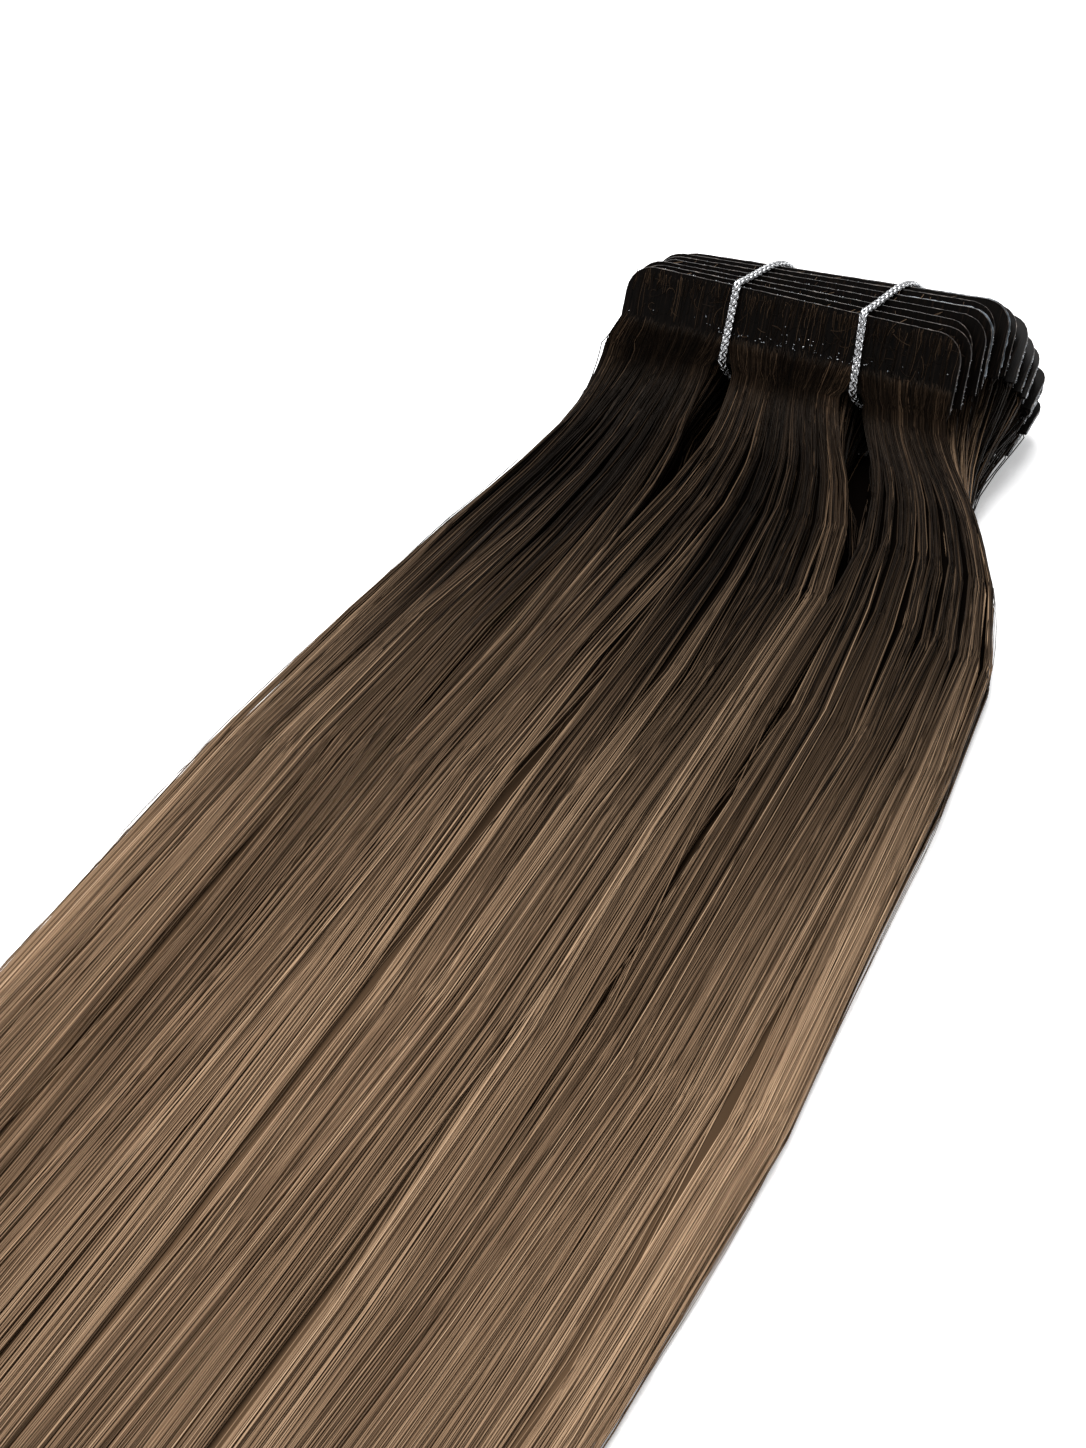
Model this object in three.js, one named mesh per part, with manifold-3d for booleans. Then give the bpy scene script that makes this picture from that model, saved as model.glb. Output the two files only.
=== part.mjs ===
// A pack of twenty tape-in hair wefts, lying on a table as it is sold.
// Each weft is a thin tab with rounded upper corners that holds a row of hair, with a clear film
// over its adhesive. The tabs fan open like the pages of a book, two elastic cords hold them, and
// the hair runs forward from them along -Y, spreads and lies flat. Millimetres, +Z up.

import * as THREE from 'three';
import Module from 'manifold-3d';

// Tabs: the bonded heads of the wefts.
const TAPE_COUNT = 20;
const TAPE_WIDTH = 40;
const TAPE_HEIGHT = 8.6;
const TAPE_THICKNESS = 0.35;
const TAPE_CORNER = 3;
const FRONT_TOP_HEIGHT = 20;

// Distance from the tabs' upper edges down to the line where the stack is tightest.
const FAN_DEPTH = 10;

// Clear release film on the back of each tab.
const FILM_THICKNESS = 0.08;
const FILM_MARGIN = 0.4;
const FILM_GAP = 0.1;

// Free space between a film and the next tab at that line.
const STACK_GAP = 0.25;

// How far a tab may stand out to one side of the stack, and the turn from one tab's to the next's.
const UNEVEN_SHIFT = 0.45;
const UNEVEN_PHASE = 2.3;

// Hair, from the front tab's upper edge to its longest tip, and the gap between a tab and its hair.
const HAIR_LENGTH = 500;
const HAIR_GAP = 0.3;
const BUNDLE_THICKNESS = 6;

// Roots: the depth of the notch between two tabs' hair, and how far the blocks of roots reach into
// the bundle, stay inside its sides and stay inside its surfaces, the last as a share of its depth.
const ROOT_NOTCH = 1.6;
const ROOT_OVERLAP = 5.2;
const ROOT_INSET = 1.2;
const ROOT_DEPTH = 0.3;

// Locks: half their width as a share of the space between them, so that they overlap, how far their
// sections are offset from their neighbours', and how they wander sideways on their way.
const LOCKS_PER_ROOT = 5;
const LOCK_SIDES = 8;
const LOCK_OVERLAP = 0.86;
const LOCK_STEP = 0.7;
const STEP_ORDER = 3;
const LOCK_WANDER = 0.9;
const WANDER_TURNS = 8;
const WANDER_PHASE = 1.7;

// Tips: how much shorter some locks are, from which share of the length on they draw up, and the
// share of the length over which a lock narrows to its tip.
const TIP_STAGGER = 24;
const TIP_PHASE = 2.4;
const STAGGER_START = 0.5;
const TIP_SHARE = 0.1;
const TIP_WIDTH = 0.6;

// How fast the bundle thins towards its sides: a high power keeps it thick until near the side.
const EDGE_POWER = 2.4;

// Elastic cords, each a closed loop round the tabs and through the hair.
const CORD_DIAMETER = 1;
const CORD_GAP = 0.3;
const CORD_BELOW_TAPE = 0.95;
const PARTING_SLACK = 0.5;
const CORD_SIDES = 8;
const CORD_STEPS = 64;

// Where each cord lies beside the middle of the tabs, at their upper edges and at the hair, as shares
// of the tab's width.
const CORDS = [
  { name: 'cord_left', top: -0.175, bottom: -0.175 },
  { name: 'cord_right', top: 0.2025, bottom: 0.2175 },
];

// Where a cord lies on the front and on the last tab, as shares of the tab's height below its upper
// edge. CORD_TUCK and CORD_CORNER are how far it stands off below a tab and at a tab's upper edge,
// as shares of its distance from the tab's face.
const CORD_FRONT = [0.6, 0.15];
const CORD_BACK = [0.2, 0.8];
const CORD_TUCK = 0.6;
const CORD_CORNER = 0.78;

// How the stack of tabs fans open, from the front tab (share 0) to the last (share 1).
// tilt: angle of the tab above the table. slide: how far each tab sits beyond the one before it,
// towards its own upper edge, as a share of the fan's depth. yaw and roll: how the tab turns about the
// vertical and about the length of the hair. shift: sideways move as a share of the tab's width.
const FAN = [
  { share: 0.0, tilt: 64, slide: 0.05, yaw: 0.0, roll: 0.0, shift: 0.0 },
  { share: 0.26, tilt: 55, slide: 0.07, yaw: 3.8, roll: -1.5, shift: 0.045 },
  { share: 0.37, tilt: 45, slide: 0.05, yaw: 4.6, roll: -1.6, shift: 0.06 },
  { share: 0.47, tilt: 31, slide: 0.01, yaw: 4.8, roll: -1.5, shift: 0.08 },
  { share: 0.58, tilt: 20, slide: 0.02, yaw: 4.8, roll: -1.3, shift: 0.1 },
  { share: 0.79, tilt: 2, slide: 0.01, yaw: 4.4, roll: -1.0, shift: 0.12 },
  { share: 1.0, tilt: -4, slide: -0.14, yaw: 3.8, roll: -0.6, shift: 0.1 },
];

// The bundle of hair in sections along its length. along: distance in front of the front tab's
// upper edge, as a share of the hair's length. left and right: its sides, as shares of the tab's
// width. top and base: its upper and lower surface, as shares of the bundle's thickness.
// edge: the thickness of its thin sides, as a share of the thickness in the middle.
const BUNDLE = [
  { along: 0.014, left: -0.54, right: 0.56, top: 1.5, base: 0.36, edge: 0.9 },
  { along: 0.028, left: -0.565, right: 0.7, top: 1.37, base: 0.15, edge: 0.75 },
  { along: 0.05, left: -0.615, right: 0.85, top: 1.28, base: 0.02, edge: 0.6 },
  { along: 0.072, left: -0.67, right: 0.94, top: 1.22, base: -0.03, edge: 0.5 },
  { along: 0.094, left: -0.71, right: 0.985, top: 1.17, base: -0.05, edge: 0.42 },
  { along: 0.12, left: -0.745, right: 1.035, top: 1.13, base: -0.05, edge: 0.36 },
  { along: 0.15, left: -0.77, right: 1.06, top: 1.08, base: -0.05, edge: 0.32 },
  { along: 0.18, left: -0.775, right: 1.09, top: 1.05, base: -0.05, edge: 0.3 },
  { along: 0.24, left: -0.755, right: 1.15, top: 1.0, base: -0.05, edge: 0.3 },
  { along: 0.3, left: -0.74, right: 1.155, top: 1.0, base: -0.05, edge: 0.3 },
  { along: 0.45, left: -0.71, right: 1.14, top: 0.95, base: -0.05, edge: 0.3 },
  { along: 0.6, left: -0.68, right: 1.11, top: 0.85, base: -0.05, edge: 0.3 },
  { along: 0.75, left: -0.65, right: 1.07, top: 0.74, base: -0.05, edge: 0.32 },
  { along: 0.9, left: -0.6, right: 1.0, top: 0.58, base: -0.05, edge: 0.36 },
  { along: 1.0, left: -0.52, right: 0.9, top: 0.42, base: -0.05, edge: 0.45 },
];

// The parting below each cord, as shares of the hair's length: open as far as the cord reaches, and
// closed where the root locks meet. JOIN_START and JOIN_END are where the locks of neighbouring
// roots begin and cease to keep apart, as shares of PARTING_SHARE.
const CORD_REACH_SHARE = 0.02;
const PARTING_SHARE = 0.085;
const JOIN_START = 0.7;
const JOIN_END = 1.3;

const HALF_TURN = 180;
const radians = (degrees) => (degrees * Math.PI) / HALF_TURN;
const vector = (x, y, z) => new THREE.Vector3(x, y, z);

const wasm = await Module();
wasm.setup();

// Value of one column of a table at a place between its rows, joined by a smooth cubic.
function column(table, key, place, name) {
  const last = table.length - 1;
  let row = 0;
  while (row < last - 1 && place > table[row + 1][key]) row += 1;
  const slope = (index) => {
    const before = table[Math.max(index - 1, 0)];
    const after = table[Math.min(index + 1, last)];
    return (after[name] - before[name]) / (after[key] - before[key]);
  };
  const [from, to] = [table[row], table[row + 1]];
  const span = to[key] - from[key];
  const t = THREE.MathUtils.clamp((place - from[key]) / span, 0, 1);
  const [t2, t3] = [t * t, t * t * t];
  return (2 * t3 - 3 * t2 + 1) * from[name] + (t3 - 2 * t2 + t) * span * slope(row)
    + (3 * t2 - 2 * t3) * to[name] + (t3 - t2) * span * slope(row + 1);
}

// The directions of one tab: across (its width), down (from its upper edge to the hair) and face
// (out of its front).
function tabFrame(share) {
  const read = (name) => column(FAN, 'share', share, name);
  const [tilt, yaw, roll] = [radians(read('tilt')), radians(read('yaw')), radians(read('roll'))];
  const across = vector(Math.cos(yaw) * Math.cos(roll), Math.sin(yaw), -Math.sin(roll)).normalize();
  const slope = vector(0, -Math.cos(tilt), -Math.sin(tilt));
  const down = slope.addScaledVector(across, -slope.dot(across)).normalize();
  const face = vector(0, 0, 0).crossVectors(across, down).negate();
  return { across, down, face };
}

// The stack: each tab stands behind the one before it, a tab, a film and their gaps apart at the
// line where the fan is tightest, so that no two sheets meet whatever their angles. hinge is the
// middle of a tab's width on that line, and root and top those of its lower and upper edge.
function stackTabs() {
  const pitch = TAPE_THICKNESS + FILM_GAP + FILM_THICKNESS + STACK_GAP;
  const tabs = [];
  for (let index = 0; index < TAPE_COUNT; index += 1) {
    const share = index / (TAPE_COUNT - 1);
    const tab = tabFrame(share);
    if (index === 0) {
      const top = vector(0, 0, FRONT_TOP_HEIGHT);
      tab.hinge = top.addScaledVector(tab.down, FAN_DEPTH);
    } else {
      const before = tabs[index - 1];
      const face = before.face.clone().add(tab.face).normalize();
      const down = before.down.clone().add(tab.down).normalize();
      const opening = Math.abs(tab.across.clone().sub(before.across).dot(face)) * (TAPE_WIDTH / 2);
      const slide = column(FAN, 'share', share, 'slide') * FAN_DEPTH;
      tab.hinge = before.hinge.clone()
        .addScaledVector(face, -(pitch + opening))
        .addScaledVector(down, -slide);
    }
    const shift = column(FAN, 'share', share, 'shift') * TAPE_WIDTH;
    tab.hinge.x = shift;
    tab.top = tab.hinge.clone().addScaledVector(tab.down, -FAN_DEPTH);
    tab.root = tab.top.clone().addScaledVector(tab.down, TAPE_HEIGHT);
    tab.slip = UNEVEN_SHIFT * Math.sin(index * UNEVEN_PHASE);
    tabs.push(tab);
  }
  return tabs;
}

const tabs = stackTabs();

// Places a flat shape drawn with x across the tab and y up from its lower edge, front face at z 0,
// a little to one side, as the sheets of a stack lie.
function placeOnTab(geometry, tab) {
  const up = tab.down.clone().negate();
  const matrix = new THREE.Matrix4().makeBasis(tab.across, up, tab.face);
  const place = tab.root.clone().addScaledVector(tab.across, tab.slip);
  return geometry.applyMatrix4(matrix.setPosition(place));
}

// A sheet with a straight lower edge and two round upper corners.
function sheetGeometry(width, height, corner, thickness, lift, depth) {
  const half = width / 2;
  const radius = Math.min(corner, half, height);
  const outline = new THREE.Shape();
  outline.moveTo(-half, lift);
  outline.lineTo(half, lift);
  outline.lineTo(half, lift + height - radius);
  outline.absarc(half - radius, lift + height - radius, radius, 0, Math.PI / 2, false);
  outline.lineTo(-half + radius, lift + height);
  outline.absarc(-half + radius, lift + height - radius, radius, Math.PI / 2, Math.PI, false);
  const sheet = new THREE.ExtrudeGeometry(outline, {
    depth: thickness, bevelEnabled: false, curveSegments: 4,
  });
  return sheet.translate(0, 0, -depth - thickness);
}

// One tab, with its front face through its root.
function tapeGeometry(tab) {
  const sheet = sheetGeometry(TAPE_WIDTH, TAPE_HEIGHT, TAPE_CORNER, TAPE_THICKNESS, 0, 0);
  return placeOnTab(sheet, tab);
}

// The film behind one tab, a margin smaller all round.
function filmGeometry(tab) {
  const width = TAPE_WIDTH - 2 * FILM_MARGIN;
  const height = TAPE_HEIGHT - 2 * FILM_MARGIN;
  const depth = TAPE_THICKNESS + FILM_GAP;
  const sheet = sheetGeometry(
    width, height, TAPE_CORNER - FILM_MARGIN, FILM_THICKNESS, FILM_MARGIN, depth,
  );
  return placeOnTab(sheet, tab);
}

// A closed body through a list of sections, each the same number of points around a line. A
// closed loop joins its last section to its first, and any other body has a flat face at each end.
function loftMesh(sections, loop, capFaces) {
  const sides = sections[0].length;
  const rings = sections.length;
  const positions = new Float32Array(sections.flat().flatMap((point) => point.toArray()));
  const triangles = [];
  for (let ring = 0; ring < (loop ? rings : rings - 1); ring += 1) {
    for (let side = 0; side < sides; side += 1) {
      const next = (side + 1) % sides;
      const [here, beyond] = [ring * sides, ((ring + 1) % rings) * sides];
      triangles.push(here + side, here + next, beyond + next);
      triangles.push(here + side, beyond + next, beyond + side);
    }
  }
  const end = (rings - 1) * sides;
  for (const [a, b, c] of capFaces) {
    triangles.push(a, c, b, end + a, end + b, end + c);
  }
  return { positions, triangles: new Uint32Array(triangles) };
}

const solidOf = ({ positions, triangles }) => new wasm.Manifold(
  new wasm.Mesh({ numProp: 3, vertProperties: positions, triVerts: triangles }),
);

function meshGeometry(positions, triangles) {
  const geometry = new THREE.BufferGeometry();
  geometry.setAttribute('position', new THREE.BufferAttribute(positions, 3));
  geometry.setIndex(new THREE.BufferAttribute(triangles, 1));
  return geometry;
}

// Faces that close a section with no hollow in its outline.
const fanFaces = (sides) => Array.from({ length: sides - 2 }, (_, side) => [0, side + 1, side + 2]);

// Faces that close a toothed section seen from the side, wound the way its outline runs.
function outlineFaces(section) {
  const outline = section.map((point) => new THREE.Vector2(point.y, point.z));
  const faces = THREE.ShapeUtils.triangulateShape(outline, []);
  const winding = Math.sign(THREE.ShapeUtils.area(outline));
  return faces.map(([a, b, c]) => {
    const face = THREE.ShapeUtils.area([outline[a], outline[b], outline[c]]);
    return Math.sign(face) === winding ? [a, b, c] : [a, c, b];
  });
}

// The three root locks, as shares of the width: one beyond each cord and one between them.
const [LEFT_SHARE, RIGHT_SHARE] = CORDS.map((cord) => 0.5 + cord.bottom);
const ROOT_LOCKS = [
  { from: 0, to: LEFT_SHARE, opens: [0, -1] },
  { from: LEFT_SHARE, to: RIGHT_SHARE, opens: [1, -1] },
  { from: RIGHT_SHARE, to: 1, opens: [1, 0] },
];

// Half width of the parting below a cord: full at the cord, closed where the root locks meet.
const PARTING = CORD_DIAMETER / 2 + CORD_GAP + PARTING_SLACK;
function partingAt(along) {
  const start = CORD_REACH_SHARE * HAIR_LENGTH;
  const length = PARTING_SHARE * HAIR_LENGTH - start;
  return PARTING * THREE.MathUtils.clamp(1 - (along - start) / length, 0, 1);
}

// Place of a share of the width once the sides of its root lock have drawn back from the cords.
function partedShare(lock, across, push) {
  const place = (across - lock.from) / (lock.to - lock.from);
  const low = lock.from + lock.opens[0] * push;
  const high = lock.to + lock.opens[1] * push;
  return low + place * (high - low);
}

// One measure of the bundle at a distance from the front tab's upper edge.
const bundle = (name, along) => column(BUNDLE, 'along', along / HAIR_LENGTH, name);

// Sideways place of the hair that leaves the tabs at a share of their width.
function flowX(lock, across, along) {
  const left = bundle('left', along) * TAPE_WIDTH;
  const width = bundle('right', along) * TAPE_WIDTH - left;
  return left + width * partedShare(lock, across, partingAt(along) / width);
}

// Height of the bundle's surface, from depth 0 at its top to 1 at its base: thick in the middle
// and thin at its sides.
function flowZ(across, depth, along) {
  const base = bundle('base', along) * BUNDLE_THICKNESS;
  const full = bundle('top', along) * BUNDLE_THICKNESS - base;
  const side = Math.abs(2 * across - 1) ** EDGE_POWER;
  const thickness = full * (1 - side * (1 - bundle('edge', along)));
  return base + thickness * (1 - depth);
}

// The roots of one lock: a tooth of hair below each tab, with a notch between it and the next,
// and all of them drawn together where the bundle starts.
function rootBlock(lock) {
  const sections = [lock.to, lock.from].map((across) => {
    const sideways = (partedShare(lock, across, PARTING / TAPE_WIDTH) - 0.5) * TAPE_WIDTH;
    const tooth = (tab, down, behind) => tab.root.clone()
      .addScaledVector(tab.across, sideways)
      .addScaledVector(tab.down, down)
      .addScaledVector(tab.face, -behind);
    const points = [];
    tabs.forEach((tab, index) => {
      if (index > 0) {
        const space = (FILM_GAP + FILM_THICKNESS + STACK_GAP) / 2;
        points.push(tooth(tab, HAIR_GAP + ROOT_NOTCH, -space));
      }
      points.push(tooth(tab, HAIR_GAP, 0), tooth(tab, HAIR_GAP, TAPE_THICKNESS));
    });
    const end = BUNDLE[0].along * HAIR_LENGTH + ROOT_OVERLAP;
    const inward = Math.sign((lock.from + lock.to) / 2 - across) * ROOT_INSET;
    for (const depth of [1 - ROOT_DEPTH, ROOT_DEPTH]) {
      points.push(vector(flowX(lock, across, end) + inward, -end, flowZ(across, depth, end)));
    }
    return points;
  });
  return solidOf(loftMesh(sections, false, outlineFaces(sections[0])));
}

// One lock of the bundle, from just in front of the tabs to its tip. Its section is an oval as
// high as the bundle there, flattened where it lies on the table.
function bundleLock(lock, number, order) {
  const width = (lock.to - lock.from) / LOCKS_PER_ROOT;
  const middle = lock.from + width * (number + 0.5);
  const stagger = (0.5 + 0.5 * Math.sin(order * TIP_PHASE)) * TIP_STAGGER;
  const step = LOCK_STEP * (order % STEP_ORDER);
  const sections = BUNDLE.map((row) => {
    const drawnUp = stagger * THREE.MathUtils.smoothstep(row.along, STAGGER_START, 1);
    const along = row.along * HAIR_LENGTH - drawnUp + step;
    return lockSection(lock, middle, width * LOCK_OVERLAP, along, row.along, order);
  });
  return solidOf(loftMesh(sections, false, fanFaces(LOCK_SIDES)));
}

// One section of a lock. Where the root locks keep apart, no point crosses a side of its own.
function lockSection(lock, middle, halfWidth, along, share, order) {
  const { clamp, smoothstep } = THREE.MathUtils;
  const taper = clamp((1 - share) / TIP_SHARE, TIP_WIDTH, 1);
  const joined = smoothstep(share, JOIN_START * PARTING_SHARE, JOIN_END * PARTING_SHARE);
  const wander = Math.sin(share * WANDER_TURNS + order * WANDER_PHASE) * LOCK_WANDER * joined;
  const points = [];
  for (let side = 0; side < LOCK_SIDES; side += 1) {
    const turn = ((side + 0.5) / LOCK_SIDES) * 2 * Math.PI;
    const round = 1 / Math.cos(Math.PI / LOCK_SIDES);
    const wanted = middle + Math.cos(turn) * round * halfWidth * taper;
    const held = clamp(wanted, lock.from, lock.to);
    const across = held + (wanted - held) * joined;
    const z = flowZ(middle, 0.5 - 0.5 * Math.sin(turn) * round, along);
    points.push(vector(flowX(lock, across, along) + wander, -along, Math.max(z, 0)));
  }
  return points;
}

// The hair: three blocks of roots and all the locks, joined into one body.
function hairGeometry() {
  const solids = ROOT_LOCKS.map(rootBlock);
  ROOT_LOCKS.forEach((lock, index) => {
    for (let number = 0; number < LOCKS_PER_ROOT; number += 1) {
      solids.push(bundleLock(lock, number, index * LOCKS_PER_ROOT + number));
    }
  });
  const mesh = wasm.Manifold.union(solids).getMesh();
  return meshGeometry(mesh.vertProperties, mesh.triVerts);
}

// One elastic cord: up the front tab, over the tabs, down behind them, under the last one and
// back through the parting in the hair.
function cordGeometry(cord) {
  const clear = CORD_DIAMETER / 2 + CORD_GAP;
  const [front, last] = [tabs[0], tabs[TAPE_COUNT - 1]];
  const at = (tab, down, out) => {
    const lower = THREE.MathUtils.clamp(down / TAPE_HEIGHT, 0, 1);
    const across = THREE.MathUtils.lerp(cord.top, cord.bottom, lower) * TAPE_WIDTH;
    return tab.top.clone()
      .addScaledVector(tab.across, across)
      .addScaledVector(tab.down, down)
      .addScaledVector(tab.face, out);
  };
  const behind = TAPE_THICKNESS + FILM_GAP + FILM_THICKNESS;
  const corner = clear * CORD_CORNER;
  const points = [
    at(front, TAPE_HEIGHT + CORD_BELOW_TAPE, clear * CORD_TUCK),
    ...CORD_FRONT.map((share) => at(front, TAPE_HEIGHT * share, clear)),
    at(front, -corner, corner),
    ...tabs.slice(1, -1).map((tab) => at(tab, -clear, -TAPE_THICKNESS / 2)),
    at(last, -corner, -behind - corner),
    ...CORD_BACK.map((share) => at(last, TAPE_HEIGHT * share, -behind - clear)),
    at(last, TAPE_HEIGHT + CORD_BELOW_TAPE, -behind - clear * CORD_TUCK),
  ];
  const route = new THREE.CatmullRomCurve3(points, true, 'centripetal');
  const sideways = vector(1, 0, 0);
  const sections = [];
  for (let step = 0; step < CORD_STEPS; step += 1) {
    const centre = route.getPointAt(step / CORD_STEPS);
    const out = route.getTangentAt(step / CORD_STEPS).cross(sideways).normalize();
    sections.push(Array.from({ length: CORD_SIDES }, (_, index) => {
      const turn = (index / CORD_SIDES) * 2 * Math.PI;
      return centre.clone()
        .addScaledVector(sideways, (Math.cos(turn) * CORD_DIAMETER) / 2)
        .addScaledVector(out, (Math.sin(turn) * CORD_DIAMETER) / 2);
    }));
  }
  const { positions, triangles } = loftMesh(sections, true, []);
  return meshGeometry(positions, triangles);
}

const tapeMaterial = new THREE.MeshStandardMaterial({ color: 0x1c1512, roughness: 0.35 });
const filmMaterial = new THREE.MeshStandardMaterial({ color: 0xb9c2ca, roughness: 0.1 });
const hairMaterial = new THREE.MeshStandardMaterial({ color: 0x5c4838, roughness: 0.5 });
const cordMaterial = new THREE.MeshStandardMaterial({
  color: 0xc9ccd0, roughness: 0.3, metalness: 0.8,
});

const pack = new THREE.Group();

function addPiece(name, geometry, material) {
  const piece = new THREE.Mesh(geometry, material);
  piece.name = name;
  pack.add(piece);
}

tabs.forEach((tab, index) => {
  const number = String(index + 1).padStart(2, '0');
  addPiece(`tape_${number}`, tapeGeometry(tab), tapeMaterial);
  addPiece(`film_${number}`, filmGeometry(tab), filmMaterial);
});
addPiece('hair', hairGeometry(), hairMaterial);
CORDS.forEach((cord) => addPiece(cord.name, cordGeometry(cord), cordMaterial));

// The origin is under the middle of the pack, on the table.
const box = new THREE.Box3().setFromObject(pack);
const middle = box.getCenter(new THREE.Vector3());
pack.position.set(-middle.x, -middle.y, -box.min.z);

export default pack;
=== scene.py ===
"""A fanned pack of tape-in hair wefts on a pale table, held by two silver elastic cords.

The hair is made of strands: thin closed tubes that leave the tabs, bend over and run forward together
in one flat bundle, dark at the roots and light brown along the lengths. All values are in metres, in
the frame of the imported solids, and lengths are written in millimetres times MM.
"""

import bpy
import numpy as np
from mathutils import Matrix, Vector


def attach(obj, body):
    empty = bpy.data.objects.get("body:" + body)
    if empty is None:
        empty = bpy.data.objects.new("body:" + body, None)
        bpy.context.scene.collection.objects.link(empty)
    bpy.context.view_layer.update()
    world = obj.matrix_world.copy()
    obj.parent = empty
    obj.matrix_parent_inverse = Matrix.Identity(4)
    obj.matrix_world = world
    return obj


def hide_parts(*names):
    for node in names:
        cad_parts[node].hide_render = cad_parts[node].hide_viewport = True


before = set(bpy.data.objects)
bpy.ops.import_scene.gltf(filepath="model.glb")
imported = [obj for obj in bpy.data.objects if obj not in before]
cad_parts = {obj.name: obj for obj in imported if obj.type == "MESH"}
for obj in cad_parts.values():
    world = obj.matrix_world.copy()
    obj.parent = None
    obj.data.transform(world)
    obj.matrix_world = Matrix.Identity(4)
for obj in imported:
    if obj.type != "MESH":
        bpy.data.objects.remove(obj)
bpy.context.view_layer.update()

scene = bpy.context.scene
MM = 0.001


# The tabs: twenty thin strips of skin, 40 mm wide and 8.6 mm high, in which the hair is bonded. They are
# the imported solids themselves, and their directions place the cords and every strand of hair. Each has
# slipped a little sideways in the stack, by a sine of its number.
TAB_COUNT = 20
TAB_WIDTH = 40 * MM
TAB_HEIGHT = 8.6 * MM
TAB_THICKNESS = 0.35 * MM
UNEVEN_SHIFT = 0.45 * MM
UNEVEN_PHASE = 2.3


def tab_axes(node):
    """A slab's corners spread most across it, less down it and least through it, so its directions are
    the principal axes of its corners. root and top are the middles of its face's lower and upper edges."""
    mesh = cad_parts[node].data
    points = np.empty(len(mesh.vertices) * 3)
    mesh.vertices.foreach_get("co", points)
    points = np.unique(points.reshape(-1, 3).round(7), axis=0)
    centre = points.mean(0)
    across, down, _ = np.linalg.svd(points - centre, full_matrices=False)[2]
    across = across * np.sign(across[0])
    down = down * -np.sign(down[1])
    face = -np.cross(across, down)
    spread = (points - centre) @ np.array([across, down, face]).T
    low, high = spread.min(0), spread.max(0)
    middle = centre + across * (low[0] + high[0]) / 2 + face * high[2]
    return {"across": across, "down": down, "face": face,
            "root": middle + down * high[1], "top": middle + down * low[1]}


tabs = [tab_axes(f"tape_{number:02d}") for number in range(1, TAB_COUNT + 1)]
front, last = tabs[0], tabs[-1]
for number, tab in enumerate(tabs):
    tab["slip"] = UNEVEN_SHIFT * np.sin(number * UNEVEN_PHASE)


# The camera looks down on the pack from its front right, at the photograph's angle and distance.
CAMERA_AZIMUTH = 25.75
CAMERA_ELEVATION = 35.0
CAMERA_OFFSET = np.array([140.07, -354.91, 209.07]) * MM
FRAME_HEIGHT_PX = 1448
FOCAL_PX = 3900
SENSOR = 24.0

camera = bpy.data.objects.new("camera", bpy.data.cameras.new("camera"))
camera.location = front["top"] + CAMERA_OFFSET
camera.rotation_euler = np.radians([90 - CAMERA_ELEVATION, 0, CAMERA_AZIMUTH])
camera.data.sensor_fit = "VERTICAL"
camera.data.sensor_height = SENSOR
camera.data.lens = SENSOR * FOCAL_PX / FRAME_HEIGHT_PX
camera.data.clip_start = 10 * MM
scene.collection.objects.link(camera)
scene.camera = camera


# The table: a plain white sheet under the pack, and the soft studio light above it.
FLOOR_SIZE = 6.0
FLOOR_DROP = 0.02 * MM
FLOOR_COLOUR = (0.93, 0.93, 0.935)
FLOOR_ROUGHNESS = 0.6
FLOOR_GLOW = 0.3
KEY_PLACE = (-0.3, 0.35, 1.0)
KEY_SIZE = 1.0
KEY_POWER = 26.0
SKY_STRENGTH = 0.5


def plain_material(name, colour, roughness):
    material = bpy.data.materials.new(name)
    material.use_nodes = True
    shader = material.node_tree.nodes["Principled BSDF"]
    shader.inputs["Base Color"].default_value = (*colour, 1)
    shader.inputs["Roughness"].default_value = roughness
    return material


half = FLOOR_SIZE / 2
floor_corners = [(x, y, -FLOOR_DROP) for x, y in ((-half, -half), (half, -half), (half, half), (-half, half))]
floor_mesh = bpy.data.meshes.new("table")
floor_mesh.from_pydata(floor_corners, [], [(0, 1, 2, 3)])
table_material = plain_material("white table", FLOOR_COLOUR, FLOOR_ROUGHNESS)
table_shader = table_material.node_tree.nodes["Principled BSDF"]
table_shader.inputs["Emission Color"].default_value = (1, 1, 1, 1)
table_shader.inputs["Emission Strength"].default_value = FLOOR_GLOW
floor_mesh.materials.append(table_material)
floor = bpy.data.objects.new("table", floor_mesh)
scene.collection.objects.link(floor)

world = bpy.data.worlds.new("studio")
world.use_nodes = True
world.node_tree.nodes["Background"].inputs["Strength"].default_value = SKY_STRENGTH
world.node_tree.nodes["Background"].inputs["Color"].default_value = (1, 1, 1, 1)
scene.world = world
scene.view_settings.view_transform = "Standard"

key_light = bpy.data.lights.new("key light", "AREA")
key_light.size = KEY_SIZE
key_light.energy = KEY_POWER
key = bpy.data.objects.new("key light", key_light)
key.location = KEY_PLACE
key.rotation_euler = (-Vector(KEY_PLACE)).to_track_quat("-Z", "Y").to_euler()
scene.collection.objects.link(key)


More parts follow.
